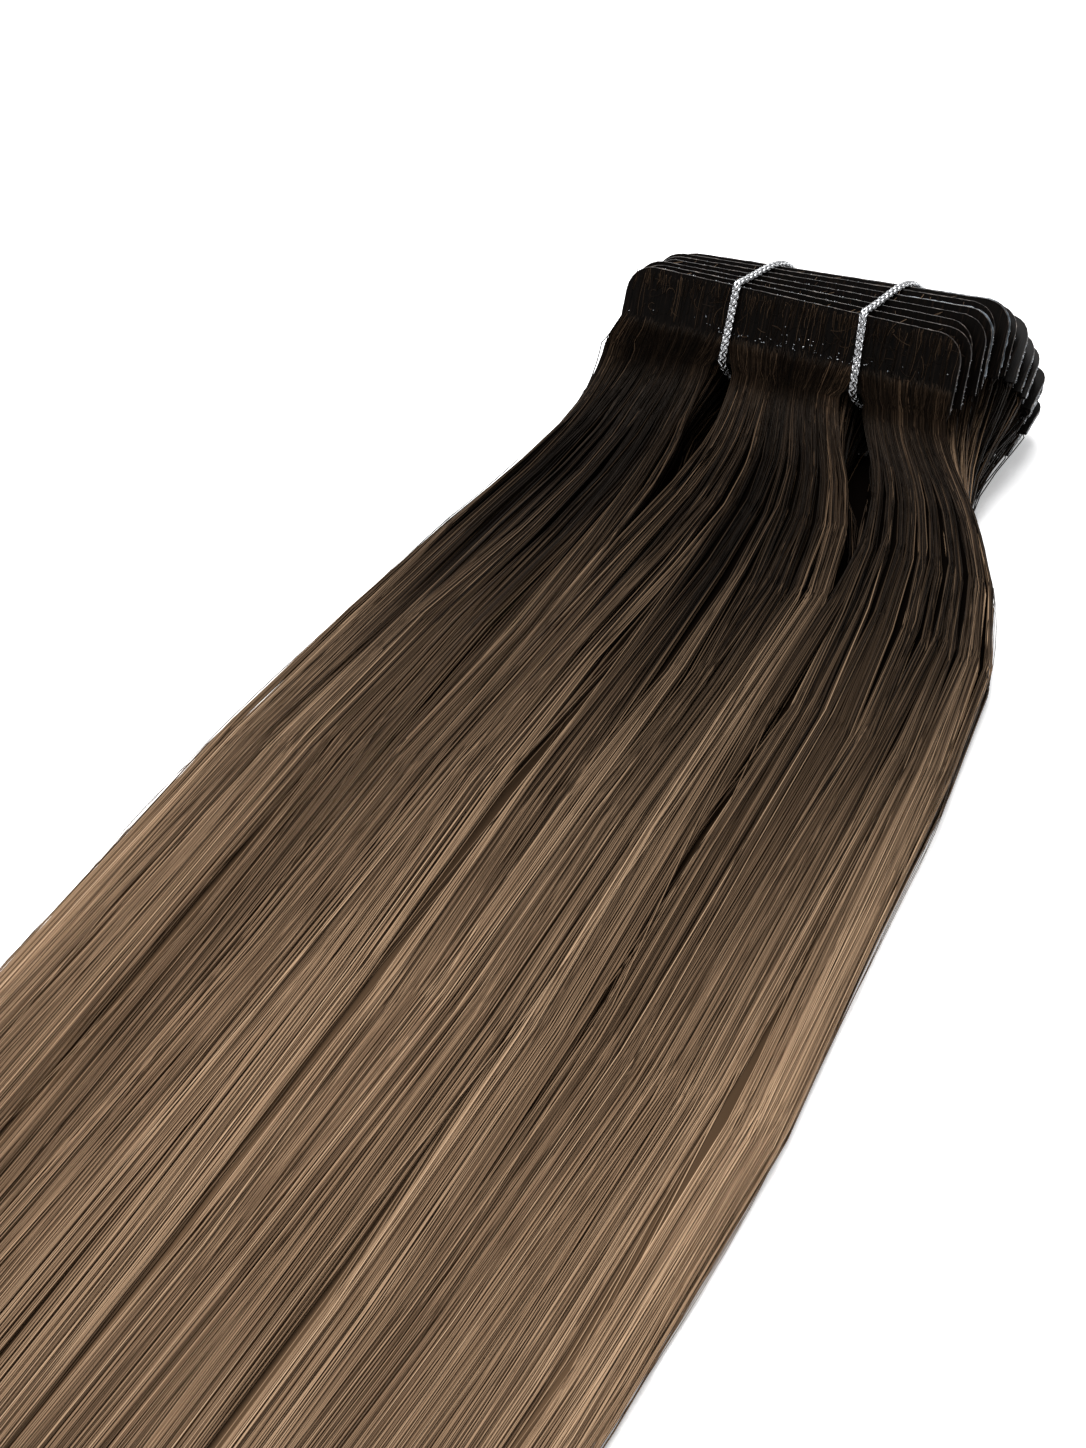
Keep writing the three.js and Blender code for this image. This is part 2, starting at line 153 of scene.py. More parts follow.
# The bundle of hair, in sections along its length. along: distance in front of the front tab's upper
# edge, as a share of the hair's length. left and right: its sides, as shares of the tab's width. top
# and base: its surfaces, as shares of its thickness. edge: how thick its sides are beside its middle.
# CORDS holds each cord's place on the tabs, at their upper edges and at the hair, as shares of the width.
HAIR_LENGTH = 500 * MM
BUNDLE_THICKNESS = 6 * MM
EDGE_POWER = 2.4
CORD_BELOW_TAB = 0.95 * MM
CORDS = {"left": (-0.175, -0.175), "right": (0.2025, 0.2175)}
BUNDLE = np.array([
    (0.014, -0.54, 0.56, 1.5, 0.36, 0.9),
    (0.028, -0.565, 0.7, 1.37, 0.15, 0.75),
    (0.05, -0.615, 0.85, 1.28, 0.02, 0.6),
    (0.072, -0.67, 0.94, 1.22, -0.03, 0.5),
    (0.094, -0.71, 0.985, 1.17, -0.05, 0.42),
    (0.12, -0.745, 1.035, 1.13, -0.05, 0.36),
    (0.15, -0.77, 1.06, 1.08, -0.05, 0.32),
    (0.18, -0.775, 1.09, 1.05, -0.05, 0.3),
    (0.24, -0.755, 1.15, 1.0, -0.05, 0.3),
    (0.3, -0.74, 1.155, 1.0, -0.05, 0.3),
    (0.45, -0.71, 1.14, 0.95, -0.05, 0.3),
    (0.6, -0.68, 1.11, 0.85, -0.05, 0.3),
    (0.75, -0.65, 1.07, 0.74, -0.05, 0.32),
    (0.9, -0.6, 1.0, 0.58, -0.05, 0.36),
    (1.0, -0.52, 0.9, 0.42, -0.05, 0.45),
], dtype=[(name, float) for name in ("along", "left", "right", "top", "base", "edge")])

# The parting under each cord: open at the cord, closed further on, sooner the deeper the hair lies. Each
# of the three root locks is five locks of hair, which wander sideways and merge towards the tips.
PARTING = 1.75 * MM
PARTING_START = 9 * MM
PARTING_END_TOP = 38 * MM
PARTING_END_DEEP = 16 * MM
PARTING_DEPTHS = (0.25, 0.6)
LOCK_EDGES = np.array([0, 0.5 + CORDS["left"][1], 0.5 + CORDS["right"][1], 1])
LOCKS_PER_ROOT = 5
LOCK_WANDER = 0.9 * MM
WANDER_SHARES = (0.06, 0.11)
WANDER_TURNS = 8
WANDER_PHASE = 1.7
MERGE_SHARES = (0.3, 0.7)
TIP_STAGGER = 24 * MM


def cubic(t, start, leave, end, arrive):
    """The cubic from start to end that leaves and arrives with the given slopes, at t from 0 to 1."""
    return ((2 * t ** 3 - 3 * t ** 2 + 1) * start + (t ** 3 - 2 * t ** 2 + t) * leave
            + (3 * t ** 2 - 2 * t ** 3) * end + (t ** 3 - t ** 2) * arrive)


def smooth(low, high, value):
    """0 below low, 1 above high, and a smooth S between them."""
    t = np.clip((value - low) / (high - low), 0, 1)
    return t * t * (3 - 2 * t)


def bundle(name, along):
    """Cubic through a column's rows, with the slope at each row that of the line between its neighbours."""
    place, value = BUNDLE["along"], BUNDLE[name]
    slope = np.gradient(value, place)
    slope[1:-1] = (value[2:] - value[:-2]) / (place[2:] - place[:-2])
    share = along / HAIR_LENGTH
    row = np.clip(np.searchsorted(place, share) - 1, 0, len(place) - 2)
    span = place[row + 1] - place[row]
    t = np.clip((share - place[row]) / span, 0, 1)
    return cubic(t, value[row], span * slope[row], value[row + 1], span * slope[row + 1])


def parted(across, push):
    """The share of the width where hair lies once its root lock has drawn back from the cords by push."""
    lock = np.clip(np.searchsorted(LOCK_EDGES, across) - 1, 0, 2)
    low, high = LOCK_EDGES[lock], LOCK_EDGES[lock + 1]
    place = (across - low) / (high - low)
    return (low + (lock > 0) * push) * (1 - place) + (high - (lock < 2) * push) * place


def flow(across, depth, along):
    """Place of hair in the bundle: sideways between its two sides, less the parting, and up between its
    base and its top, which come together towards the sides. Each lock wanders sideways by a sine along
    it, and towards the tips the hair between two locks takes a share of both their wanderings."""
    left = bundle("left", along) * TAB_WIDTH
    width = bundle("right", along) * TAB_WIDTH - left
    close = PARTING_END_TOP + (PARTING_END_DEEP - PARTING_END_TOP) * smooth(*PARTING_DEPTHS, depth)
    push = PARTING * np.clip(1 - (along - PARTING_START) / (close - PARTING_START), 0, 1)
    share = along / HAIR_LENGTH
    order = across * LOCKS_PER_ROOT * 3
    before = np.floor(order - 0.5)
    here, lower, upper = (np.sin(share * WANDER_TURNS + lock * WANDER_PHASE)
                          for lock in (np.floor(order), before, before + 1))
    between = lower + (upper - lower) * smooth(0.1, 0.9, order - 0.5 - before)
    wander = (here + (between - here) * smooth(*MERGE_SHARES, share)) * LOCK_WANDER
    x = left + width * parted(across, push / width) + wander * smooth(*WANDER_SHARES, share)
    base = bundle("base", along) * BUNDLE_THICKNESS
    full = bundle("top", along) * BUNDLE_THICKNESS - base
    side = np.abs(2 * across - 1) ** EDGE_POWER
    z = base + full * (1 - side * (1 - bundle("edge", along))) * (1 - depth)
    origin = front["top"]
    return np.stack([origin[0] + x, origin[1] - along, z], -1)


# The hair's colour: near black at the roots, then a long blend to light brown, which starts sooner on
# strands of a higher tone. The group turns a point's share of the hair's length and its strand's tone
# into that colour. Satin, with a soft warm shine.
ROOT_SHADES = ((0.0, (0.0014, 0.001, 0.0008)), (0.45, (0.0036, 0.0022, 0.0014)),
               (0.75, (0.016, 0.01, 0.0062)), (1.0, (0.06, 0.037, 0.022)))
LENGTH_SHADES = ((0.0, (0.06, 0.036, 0.02)), (0.3, (0.145, 0.09, 0.053)),
                 (0.65, (0.25, 0.162, 0.098)), (1.0, (0.4, 0.272, 0.172)))
BLEND_SHARES = (0.08, 0.32)
TONE_LEAD = 0.1
HAIR_ROUGHNESS = 0.4
HAIR_SHINE = 0.045
SHINE_TINT = (1.0, 0.82, 0.66)


def ramp(nodes, stops):
    node = nodes.new("ShaderNodeValToRGB")
    while len(node.color_ramp.elements) < len(stops):
        node.color_ramp.elements.new(0.5)
    for element, (place, colour) in zip(node.color_ramp.elements, stops):
        element.position = place
        element.color = (*colour, 1)
    return node


def group_with_sockets(name, inputs, output, kind):
    """An empty shader node group with named number or vector inputs and one named output."""
    group = bpy.data.node_groups.new(name, "ShaderNodeTree")
    for label, socket in inputs:
        group.interface.new_socket(label, in_out="INPUT", socket_type=socket)
    group.interface.new_socket(output, in_out="OUTPUT", socket_type=kind)
    return group, group.nodes.new("NodeGroupInput"), group.nodes.new("NodeGroupOutput")


hair_shade, given, result = group_with_sockets(
    "hair shade", (("Share", "NodeSocketFloat"), ("Tone", "NodeSocketFloat")), "Colour", "NodeSocketColor")
lead = hair_shade.nodes.new("ShaderNodeMath")
lead.operation = "MULTIPLY_ADD"
lead.inputs[1].default_value = TONE_LEAD
blend = hair_shade.nodes.new("ShaderNodeMapRange")
blend.interpolation_type = "SMOOTHSTEP"
blend.inputs["From Min"].default_value, blend.inputs["From Max"].default_value = BLEND_SHARES
mix = hair_shade.nodes.new("ShaderNodeMix")
mix.data_type = "RGBA"
hair_shade.links.new(given.outputs["Tone"], lead.inputs[0])
hair_shade.links.new(given.outputs["Share"], lead.inputs[2])
hair_shade.links.new(lead.outputs[0], blend.inputs["Value"])
hair_shade.links.new(blend.outputs["Result"], mix.inputs["Factor"])
for socket, shades in (("A", ROOT_SHADES), ("B", LENGTH_SHADES)):
    node = ramp(hair_shade.nodes, shades)
    hair_shade.links.new(given.outputs["Tone"], node.inputs["Fac"])
    hair_shade.links.new(node.outputs["Color"], mix.inputs[socket])
hair_shade.links.new(mix.outputs["Result"], result.inputs["Colour"])


def hair_material(name, shine):
    material = plain_material(name, ROOT_SHADES[0][1], HAIR_ROUGHNESS)
    nodes, links = material.node_tree.nodes, material.node_tree.links
    shade = nodes.new("ShaderNodeGroup")
    shade.node_tree = hair_shade
    for label in ("Share", "Tone"):
        mark = nodes.new("ShaderNodeAttribute")
        mark.attribute_name = label.lower()
        links.new(mark.outputs["Fac"], shade.inputs[label])
    shader = nodes["Principled BSDF"]
    links.new(shade.outputs["Colour"], shader.inputs["Base Color"])
    shader.inputs["Specular IOR Level"].default_value = shine
    shader.inputs["Specular Tint"].default_value = (*SHINE_TINT, 1)
    return material


strand_material = hair_material("hair", HAIR_SHINE)


# The core of the bundle: the mass of hair that lies under the strands, in three root locks that meet
# where the partings close, and a layer below them that fills the space down to the table. It flows as
# the hair does, a little inside it. Its dark tone without shine is painted shade, for the shade deep in
# the bundle, and the layer below is painted shadow: a dark sheet where the table lies in the hair's
# shadow under the raised roots.
CORE_INSET = 0.012
CORE_BODIES = (
    # from, to, upper depth, lower depth, start
    (CORE_INSET, LOCK_EDGES[1], 0.12, 0.95, 11 * MM),
    (LOCK_EDGES[1], LOCK_EDGES[2], 0.12, 0.95, 11 * MM),
    (LOCK_EDGES[2], 1 - CORE_INSET, 0.12, 0.95, 11 * MM),
    # painted shadow: a dark layer down to the table under the raised roots
    (0.05, 0.95, 0.7, 1.3, 3 * MM),
)
CORE_FLOOR = 0.1 * MM
CORE_END = 440 * MM
CORE_TIP = 0.5
CORE_TIP_SHARE = 0.85
# The core's tone is painted shade: dark, for the hair deep in the bundle.
CORE_SHADE_TONE = 0.05
CORE_ROWS = 70
CORE_SPACING = 1.6
CORE_SIDES = 20
CORE_SQUARE = 0.5

core_turn = (np.arange(CORE_SIDES) + 0.5) / CORE_SIDES * 2 * np.pi
box_x, box_y = (np.sign(wave) * np.abs(wave) ** CORE_SQUARE
                for wave in (np.cos(core_turn), np.sin(core_turn)))
core_points, core_shares, core_faces = [], [], []
for number, (low, high, top, base, start) in enumerate(CORE_BODIES):
    along = start + (CORE_END - start) * np.linspace(0, 1, CORE_ROWS)[:, None] ** CORE_SPACING
    narrow = 1 - CORE_TIP * smooth(CORE_TIP_SHARE, 1, along / CORE_END)
    across = (low + high) / 2 + (high - low) / 2 * box_x * narrow * 0.998
    depth = (top + base) / 2 - (base - top) / 2 * box_y + 0 * across
    body = flow(across, depth, along + 0 * across)
    body[:, :, 2] = np.maximum(body[:, :, 2], CORE_FLOOR)
    core_points.append(body)
    core_shares.append(along / HAIR_LENGTH + 0 * across)
    begin = number * CORE_ROWS * CORE_SIDES
    grid = begin + np.arange(CORE_ROWS * CORE_SIDES).reshape(CORE_ROWS, CORE_SIDES)
    beside = np.roll(grid, -1, axis=1)
    core_faces += np.stack([grid[:-1], beside[:-1], beside[1:], grid[1:]], -1).reshape(-1, 4).tolist()
    core_faces += [grid[0][::-1].tolist(), grid[-1].tolist()]
core_mesh = bpy.data.meshes.new("hair_core")
core_mesh.from_pydata(np.concatenate(core_points).reshape(-1, 3).tolist(), [], core_faces)
core_mesh.update()
core_shares = np.concatenate(core_shares).reshape(-1)
for mark, values in (("tone", np.full(core_shares.shape, CORE_SHADE_TONE)), ("share", core_shares)):
    attribute = core_mesh.attributes.new(mark, "FLOAT", "POINT")
    attribute.data.foreach_set("value", values.astype(np.float32))
core_mesh.materials.append(hair_material("hair in shade", 0.0))
core = bpy.data.objects.new("hair_core", core_mesh)
scene.collection.objects.link(core)
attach(core, "root")
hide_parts("hair")


# The strands of each weft. A strand starts in its tab, leaves the tab's lower edge, bends over in a
# smooth curve and joins the bundle at its own depth. The front tab's strands show on its face, below
# the dark band of the bond, and the others start hidden in their tabs.
BAND_HEIGHT = 5.6 * MM
BAND_RAGGED = 0.35 * MM
HIDDEN_START = 0.5 * MM
STRAND_RADIUS = 0.066 * MM
STRAND_SPREAD = (0.75, 1.15)
STRAND_LIFT = 0.05 * MM
LIFTS = (-0.6, 1.4)
SUNK = 1.2
RING_TURN = 1.9

# Four places of a strand at its tab: the shares of the parting and of the left side's flare that it has
# taken there, and its scatter sideways. The flare reaches over the left side and dies out in the stack.
LEAVING = ((0.05, 0, 0), (0.3, 0.5, 0.1 * MM), (0.6, 1, 0.14 * MM), (0.9, 1.15, 0.18 * MM))
LEFT_FLARE = 1.3 * MM
FLARE_WIDTH = 0.12
FLARE_WEFTS = 12

# The bend from the tab to the bundle: where it ends, and how strongly it keeps the direction of the tab
# and of the bundle. After it the steps along the hair grow longer.
JOIN_ALONG = 9.5 * MM
JOIN_SPREAD = 4 * MM
BEND_STEPS = 5
TAB_PULL = 0.6
BUNDLE_PULL = 1.1
FLOW_STEPS = 13
FLOW_SPACING = 2.5

# Clumps near the roots: how many in a weft, how far their strands draw together and how they sway.
CLUMPS = 47
CLUMP_PULL = 0.4
CLUMP_SWAY = 0.3 * MM
SWAY_LENGTH = 13 * MM

# Fine locks all along: how many in a weft, the pull on their strands, and how far they differ in depth,
# counted in wefts, and in tone.
FINE_LOCKS = 200
FINE_PULL = (0.25, 0.8)
FINE_DEPTH = 1.3
FINE_TONE = 0.09

# Single strands: how far they lie off their weft's depth, sink and drift towards the tips, the few that
# stray, and their slow wave, in millimetres and in turns over the hair's length.
DEPTH_SCATTER = 0.25
DEPTHS = (-0.012, 0.98)
SINK = 0.035
DRIFT = 0.003
STRAYS = 0.1
STRAY_DRIFT = 0.03
WAVE_MM = (0.05, 0.3)
WAVE_TURNS = (1.0, 2.6)
TIP_SCATTER = 18 * MM
TIP_TAPER = 0.65

# Where each of these sets in along the hair, where the clumps come apart again, and where a strand may
# first cross into the next root lock.
CLUMP_IN = (6 * MM, 20 * MM)
CLUMP_OUT = (35 * MM, 110 * MM)
FINE_IN = (8 * MM, 24 * MM)
DRIFT_IN = (20 * MM, 160 * MM)
WAVE_IN = (14 * MM, 60 * MM)
CROSSING_IN = (28 * MM, 60 * MM)

# Shades: the middle tone and its scatter, broad panels, a ripple, and the lighter right half and tips.
# The strands along both edges turn light sooner, and one lock right of the middle turns light later.
TONE = 0.47
TONE_SCATTER = 0.2
PANEL_TONE = 0.06
RIPPLE_TONE = 0.08
RIPPLE_LENGTH = 26 * MM
SIDE_LIGHT = 0.13
TIP_LIGHT = 0.2
EDGE_LIGHT = 0.095
EDGE_TONE = 0.3
LEFT_EDGE = 0.03
RIGHT_EDGE = (0.945, 0.97)
RIGHT_EDGE_LIGHT = 2.2
RIGHT_EDGE_WEFTS = range(1, 9)
DARK_LOCK = 0.024
DARK_PLACE = 0.62
DARK_WIDTH = 0.09


def tube_mesh(name, centres, radii, sides, marks, material, level=np.array([[[1.0, 0.0, 0.0]]])):
    """Closed tubes of a few sides: round each centre line a ring of points stands square to it, the rings
    are joined by quads, and a face closes each end. The rings of each line are turned RING_TURN further
    than those of the last. marks are values for each point of the lines, and level is a direction that
    no line runs along."""
    lines, steps = radii.shape
    ahead = np.gradient(centres, axis=1)
    ahead /= np.linalg.norm(ahead, axis=2, keepdims=True)
    sideways = level - ahead * (ahead * level).sum(2, keepdims=True)
    sideways /= np.linalg.norm(sideways, axis=2, keepdims=True)
    upward = np.cross(sideways, ahead)
    turn = np.arange(sides) / sides * 2 * np.pi + np.arange(lines)[:, None] * RING_TURN
    ring = (np.cos(turn)[:, None, :, None] * sideways[:, :, None, :]
            + np.sin(turn)[:, None, :, None] * upward[:, :, None, :])
    points = centres[:, :, None, :] + radii[:, :, None, None] * ring
    start = (np.arange(lines) * steps * sides)[:, None, None]
    row = (np.arange(steps - 1) * sides)[None, :, None]
    here = start + row + np.arange(sides)
    there = start + row + (np.arange(sides) + 1) % sides
    walls = np.stack([here, here + sides, there + sides, there], -1).reshape(-1)
    head = start[:, 0] + np.arange(sides)
    tail = head + (steps - 1) * sides
    caps = np.concatenate([head, tail[:, ::-1]]).reshape(-1)
    mesh = bpy.data.meshes.new(name)
    mesh.vertices.add(lines * steps * sides)
    mesh.vertices.foreach_set("co", points.astype(np.float32).reshape(-1))
    corners = np.concatenate([walls, caps])
    quads = len(walls) // 4
    starts = np.concatenate([np.arange(quads) * 4, len(walls) + np.arange(2 * lines) * sides])
    mesh.loops.add(len(corners))
    mesh.loops.foreach_set("vertex_index", corners.astype(np.int32))
    mesh.polygons.add(len(starts))
    mesh.polygons.foreach_set("loop_start", starts.astype(np.int32))
    mesh.update(calc_edges=True)
    mesh.polygons.foreach_set("use_smooth", np.ones(len(starts), bool))
    for mark, values in marks.items():
        attribute = mesh.attributes.new(mark, "FLOAT", "POINT")
        spread = np.repeat(np.broadcast_to(values, (lines, steps)).reshape(-1), sides)
        attribute.data.foreach_set("value", spread.astype(np.float32))
    mesh.materials.append(material)
    piece = bpy.data.objects.new(name, mesh)
    scene.collection.objects.link(piece)
    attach(piece, "root")
    return piece


def fine_locks(across, draw):
    """Borders at random places cut a weft into fine locks. Gives each strand its way to the middle of
    its lock, and its lock's own depth and tone."""
    borders = np.sort(np.concatenate([LOCK_EDGES, draw.random(FINE_LOCKS)]))
    lock = np.clip(np.searchsorted(borders, across) - 1, 0, len(borders) - 2)
    pull = draw.uniform(*FINE_PULL, len(borders))[lock]
    deep = draw.random(len(borders))[lock] * FINE_DEPTH
    tone = draw.normal(0, FINE_TONE, len(borders))[lock]
    return ((borders[lock] + borders[lock + 1]) / 2 - across) * pull, deep, tone


def tab_places(weft, across, draw):
    """Four places of each strand at its tab: its start, halfway down from there, the tab's lower edge and
    just past the cord. In the front tab it starts sunk in the face and then lies on it."""
    tab, count = tabs[weft], len(across)
    if weft == 0:
        lift = STRAND_LIFT * draw.uniform(*LIFTS, count)
        begin = BAND_HEIGHT + draw.normal(0, BAND_RAGGED, count)
        outs = (np.full(count, -STRAND_RADIUS * SUNK), lift, lift, lift)
    else:
        begin = TAB_HEIGHT - HIDDEN_START
        outs = (np.full(count, -TAB_THICKNESS / 2),) * 4
    downs = (begin, (begin + TAB_HEIGHT) / 2, TAB_HEIGHT, TAB_HEIGHT + CORD_BELOW_TAB)
    flare = LEFT_FLARE * (1 - smooth(0.0, FLARE_WIDTH, across)) * max(0, 1 - weft / FLARE_WEFTS)
    places = []
    for down, out, (opened, flared, scatter) in zip(downs, outs, LEAVING):
        sideways = (parted(across, PARTING / TAB_WIDTH * opened) - 0.5) * TAB_WIDTH
        sideways = sideways + draw.normal(0, scatter, count) - flare * flared
        beyond = np.broadcast_to(down - TAB_HEIGHT, count)
        places.append(tab["root"] + tab["across"] * sideways[:, None] + tab["down"] * beyond[:, None]
                      + tab["face"] * out[:, None])
    return places


def strand_shades(weft, across, share, lock_tone, draw):
    """Share and tone at each point, for the hair's colour. The tone is its middle, plus two sines across
    the weft, a sine along it and the scatters of lock and strand. A strand that turns light sooner or
    later has its share moved on or back."""
    panel = PANEL_TONE * (np.sin(across * 21 + weft * 0.35 + 0.6) + np.sin(across * 47 + weft * 0.5))
    panel += SIDE_LIGHT * (smooth(0.2, 0.5, across) - 0.8)
    ripple = RIPPLE_TONE * np.sin(share * HAIR_LENGTH / RIPPLE_LENGTH + across[:, None] * 14 + 2.8)
    tone = TONE + panel + lock_tone + draw.normal(0, TONE_SCATTER, len(across))
    tone = np.clip(np.clip(tone[:, None] + ripple, 0, 1) + TIP_LIGHT * smooth(0.75, 1.0, share), 0, 1)
    right = RIGHT_EDGE_LIGHT * smooth(*RIGHT_EDGE, across) * (weft in RIGHT_EDGE_WEFTS)
    outer = (1 - smooth(0.0, LEFT_EDGE, across) + right) * draw.uniform(0.1, 1, len(across))
    outer = outer[:, None] * smooth(0.0, 0.035, share)
    lag = DARK_LOCK * np.exp(-((across[:, None] - DARK_PLACE) / DARK_WIDTH) ** 2)
    return share - lag + EDGE_LIGHT * outer, np.clip(tone + EDGE_TONE * outer, 0, 1)


def weft_strands(weft, count, thickness, draw):
    """Centre lines, radii and shades of one weft's strands: four places at the tab, a cubic from there to
    where the strand joins the bundle, and the flow of the bundle on to the tip. The strands of a clump
    draw together and sway together near the roots, and those of a fine lock cling together all along.
    The tips end unevenly, by three sines across the weft and a scatter."""
    across = (np.arange(count) + draw.random(count)) / count * 0.985 + 0.0075
    to_lock, lock_depth, lock_tone = fine_locks(across, draw)
    root = np.clip(np.searchsorted(LOCK_EDGES, across) - 1, 0, 2)
    root_low, root_high = LOCK_EDGES[root][:, None], LOCK_EDGES[root + 1][:, None]
    depth = np.clip((weft + lock_depth + draw.normal(0, DEPTH_SCATTER, count)) / TAB_COUNT, *DEPTHS)
    at_tab = tab_places(weft, across, draw)
    joint = JOIN_ALONG + JOIN_SPREAD * draw.random(count)
    settle = np.clip(depth + np.abs(draw.normal(0, SINK, count)), DEPTHS[0], DEPTHS[1] + 0.005)
    drift = draw.normal(0, DRIFT, count) + (draw.random(count) < STRAYS) * draw.normal(0, STRAY_DRIFT, count)
    wave = draw.uniform(*WAVE_MM, count)[:, None] * MM
    turns = draw.uniform(*WAVE_TURNS, count)[:, None] * 2 * np.pi
    phase = draw.uniform(0, 2 * np.pi, count)[:, None]
    uneven = np.sin(across * 36 + 0.2 * weft) + np.sin(across * 97 + 1.3 * weft) + np.sin(across * 17 + 2)
    length = HAIR_LENGTH - TIP_STAGGER * (0.5 + uneven / 6) - np.abs(draw.normal(0, 1, count)) * TIP_SCATTER
    steps = np.linspace(0, 1, FLOW_STEPS + 1)[None, :] ** FLOW_SPACING
    along = joint[:, None] + (length - joint)[:, None] * steps

    clump = np.floor(across * CLUMPS + 0.4 * np.sin(across * 57))
    tightness = (np.sin(clump * 12.9 + weft * 0.6) * 0.5 + 0.5) * CLUMP_PULL
    to_middle = ((clump + 0.5) / CLUMPS - across) * tightness

    def course(along):
        part = smooth(*DRIFT_IN, along)
        drawn = smooth(*CLUMP_IN, along) * (1 - 0.7 * smooth(*CLUMP_OUT, along))
        place = across[:, None] + drift[:, None] * part + to_middle[:, None] * drawn
        place = place + to_lock[:, None] * smooth(*FINE_IN, along)
        free = smooth(*CROSSING_IN, along)
        place = np.clip(place, root_low + 0.002 - free, root_high - 0.002 + free)
        deep = depth[:, None] + (settle - depth)[:, None] * part
        line = flow(np.clip(place, 0.004, 0.996), deep, along)
        swing = np.sin(turns * along / HAIR_LENGTH + phase) - np.sin(phase)
        line[:, :, 0] += swing * wave * smooth(*WAVE_IN, along)
        line[:, :, 0] += np.sin(along / SWAY_LENGTH + clump[:, None] * 2.7) * CLUMP_SWAY * drawn
        line[:, :, 2] = np.maximum(line[:, :, 2], STRAND_RADIUS)
        return line

    run = course(along)
    ahead = course(along[:, :1] + 1 * MM)[:, 0] - run[:, 0]
    ahead /= np.linalg.norm(ahead, axis=1, keepdims=True)
    leave, meet = at_tab[-1], run[:, 0]
    reach = np.linalg.norm(meet - leave, axis=1, keepdims=True)
    bend = [cubic(t, leave, reach * TAB_PULL * tabs[weft]["down"], meet, reach * BUNDLE_PULL * ahead)
            for t in np.arange(1, BEND_STEPS) / BEND_STEPS]
    centres = np.concatenate([np.stack(at_tab + bend, 1), run], 1)
    centres[:, :, 2] = np.maximum(centres[:, :, 2], STRAND_RADIUS)
    early = np.linspace(0, 1, len(at_tab) + len(bend))[None, :] * joint[:, None]
    share = np.concatenate([early, along], 1) / HAIR_LENGTH
    taper = 1 - TIP_TAPER * smooth(0.86, 1, np.concatenate([0 * early, steps + 0 * along], 1))
    radii = STRAND_RADIUS * thickness * draw.uniform(*STRAND_SPREAD, count)[:, None] * taper
    return centres, radii, *strand_shades(weft, across, share, lock_tone, draw)


# Strands of each group of wefts, from the front one to the last: how many in each weft, and how thick
# beside those of the front one, which show most and are the finest.
WEFT_GROUPS = (
    ("front_weft_hair", range(0, 1), 1550, 1.0),
    ("second_weft_hair", range(1, 2), 1050, 1.0),
    ("upper_weft_hair", range(2, 4), 620, 1.1),
    ("middle_weft_hair", range(4, 9), 190, 1.35),
    ("lower_weft_hair", range(9, 15), 150, 1.4),
    ("last_weft_hair", range(15, 20), 180, 1.4),
)
FIRST_SEED = 40
for number, (name, wefts, count, thickness) in enumerate(WEFT_GROUPS):
    draw = np.random.default_rng(FIRST_SEED + number)
    centres, radii, share, tone = (np.concatenate(part) for part in
                                   zip(*(weft_strands(weft, count, thickness, draw) for weft in wefts)))
    piece = tube_mesh(name, centres, radii, 3, {"share": share, "tone": tone}, strand_material)


# The silver elastic cords, each a closed loop up the front tab, over the stack, down behind it and back
# through the hair. Eight flat metallic threads, four each way, are braided round the flattened place of an
# elastic core, which is not drawn. CORD_FRONT and CORD_BACK are its places down the outer tabs, as shares
# of their height.
CORD_RADIUS = 0.5 * MM
CORD_FLAT = 0.62
CORD_GAP = 0.05 * MM
FILM_BACK = 0.18 * MM
CORD_CORNER = 0.6
CORD_UNDER = 1.15
CORD_FRONT = (0.9, 0.5, 0.12)
CORD_BACK = (0.2, 0.8)
CORD_STEPS = 300
CURVE_STEPS = 24
THREADS = 4
THREAD_PITCH = 3.6 * MM
THREAD_WIDTH = 0.2 * MM
THREAD_DEPTH = 0.07 * MM
THREAD_LEAN = 0.7
BRAID_HEIGHT = 0.06 * MM
CORD_GRAIN = 9000
CORD_SHADES = ((0.38, (0.14, 0.145, 0.155)), (0.6, (0.92, 0.93, 0.95)))
CORD_ROUGHNESS = 0.22


def closed_curve(points, count):
    """A closed curve through points, joined by cubics whose tangents follow the square root of the
    points' distances, then cut into steps of equal length."""
    before, here, after, beyond = (np.roll(points, shift, axis=0) for shift in (1, 0, -1, -2))
    first, span, third = (np.linalg.norm(b - a, axis=1, keepdims=True) ** 0.5
                          for a, b in ((before, here), (here, after), (after, beyond)))
    leave = ((here - before) / first - (after - before) / (first + span) + (after - here) / span) * span
    arrive = ((after - here) / span - (beyond - here) / (span + third) + (beyond - after) / third) * span
    t = (np.arange(CURVE_STEPS) / CURVE_STEPS)[None, :, None]
    fine = cubic(t, here[:, None], leave[:, None], after[:, None], arrive[:, None]).reshape(-1, 3)
    fine = np.concatenate([fine, fine[:1]])
    length = np.concatenate([[0], np.cumsum(np.linalg.norm(np.diff(fine, axis=0), axis=1))])
    wanted = np.arange(count) / count * length[-1]
    return np.stack([np.interp(wanted, length, fine[:, axis]) for axis in range(3)], 1), length[-1]


